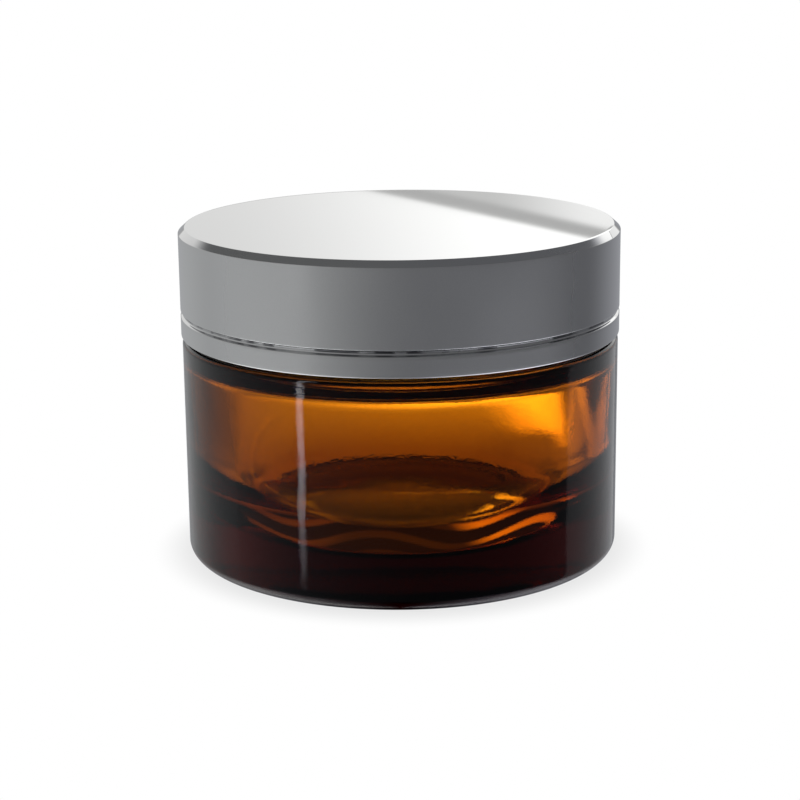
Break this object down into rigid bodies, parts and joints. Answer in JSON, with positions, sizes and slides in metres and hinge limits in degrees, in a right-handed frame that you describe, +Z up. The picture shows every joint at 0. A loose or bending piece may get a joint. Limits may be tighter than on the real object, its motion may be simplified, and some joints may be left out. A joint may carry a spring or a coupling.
{
  "type": "cosmetic cream jar",
  "caption": "Round thick-walled amber glass cream jar with a satin aluminium screw lid, foam liner and sealing disc.",
  "frame": {"origin": "centre of the foot, on the plane the jar stands on", "axes": "+Z up along the axis of the jar and of its screw thread; the thread of the jar starts on +X"},
  "size_m": [0.061, 0.061, 0.0463],
  "materials": {
    "amber_glass": "clear amber, fire-polished",
    "disc_plastic": "natural translucent polypropylene",
    "liner_foam": "white polyethylene foam",
    "cap_plastic": "white moulded polypropylene",
    "satin_aluminium": "fine blasted and anodised, with a bright groove"
  },
  "bodies": {
    "jar": {"glass_jar": "amber_glass"},
    "seal": {"sealing_disc": "disc_plastic"},
    "carrier": {"liner": "liner_foam"},
    "lid": {"inner_cap": "cap_plastic", "lid_overshell": "satin_aluminium"}
  },
  "joints": [
    {"name": "lid_rise", "type": "slide", "parent": "jar", "child": "carrier", "axis": [0, 0, 1], "range_m": [0, 0.0213]},
    {"name": "lid_twist", "type": "hinge", "parent": "carrier", "child": "lid", "pos_m": [0, 0, 0.0313], "axis": [0, 0, 1], "range_deg": [0, 1800]},
    {"name": "disc_lift", "type": "slide", "parent": "jar", "child": "seal", "axis": [0, 0, 1], "range_m": [0, 0.00605]}
  ],
  "couplings": [
    {"joint": "lid_rise", "follows": "lid_twist", "m_per_rad": 0.00067376},
    {"joint": "disc_lift", "follows": "lid_twist", "m_per_rad": 0.00019099}
  ]
}
